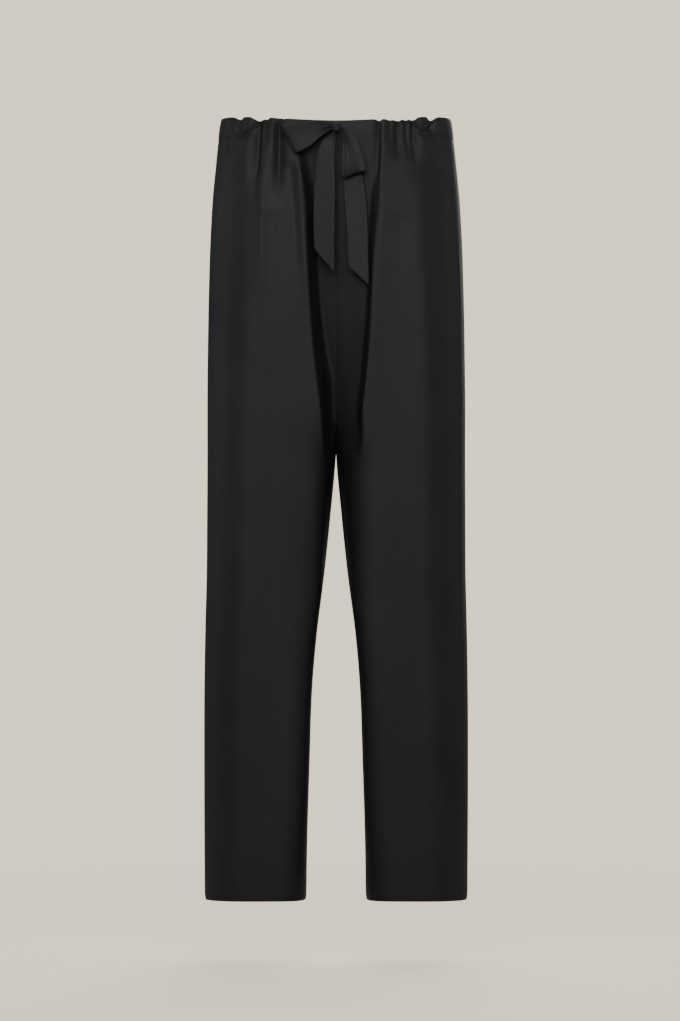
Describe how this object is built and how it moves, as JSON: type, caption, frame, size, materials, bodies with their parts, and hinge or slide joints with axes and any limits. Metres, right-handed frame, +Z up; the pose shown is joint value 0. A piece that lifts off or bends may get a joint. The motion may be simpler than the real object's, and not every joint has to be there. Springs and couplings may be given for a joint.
{
  "type": "drawstring trousers",
  "caption": "Straight-legged black satin trousers, filled out as worn, with a gathered waist casing and a flat tie knotted in a bow at the front.",
  "frame": {"origin": "middle of the waist, level with the middle of the casing at the side seams", "axes": "+Z up along the garment's length, -Y the front with the bow, +X the wearer's left"},
  "size_m": [0.3584, 0.2566, 1.0564],
  "materials": {
    "satin": "black satin crepe with a soft sheen",
    "tie_satin": "black satin crepe, flat strip of the same cloth"
  },
  "bodies": {
    "root": {"front_right_leg": "satin", "front_left_leg": "satin", "back_right_leg": "satin", "back_left_leg": "satin", "casing_front": "satin", "casing_back": "satin", "tie_knot": "tie_satin", "tie_loop_right": "tie_satin", "tie_loop_left": "tie_satin", "tie_tail_right": "tie_satin", "tie_tail_left": "tie_satin"}
  },
  "joints": []
}
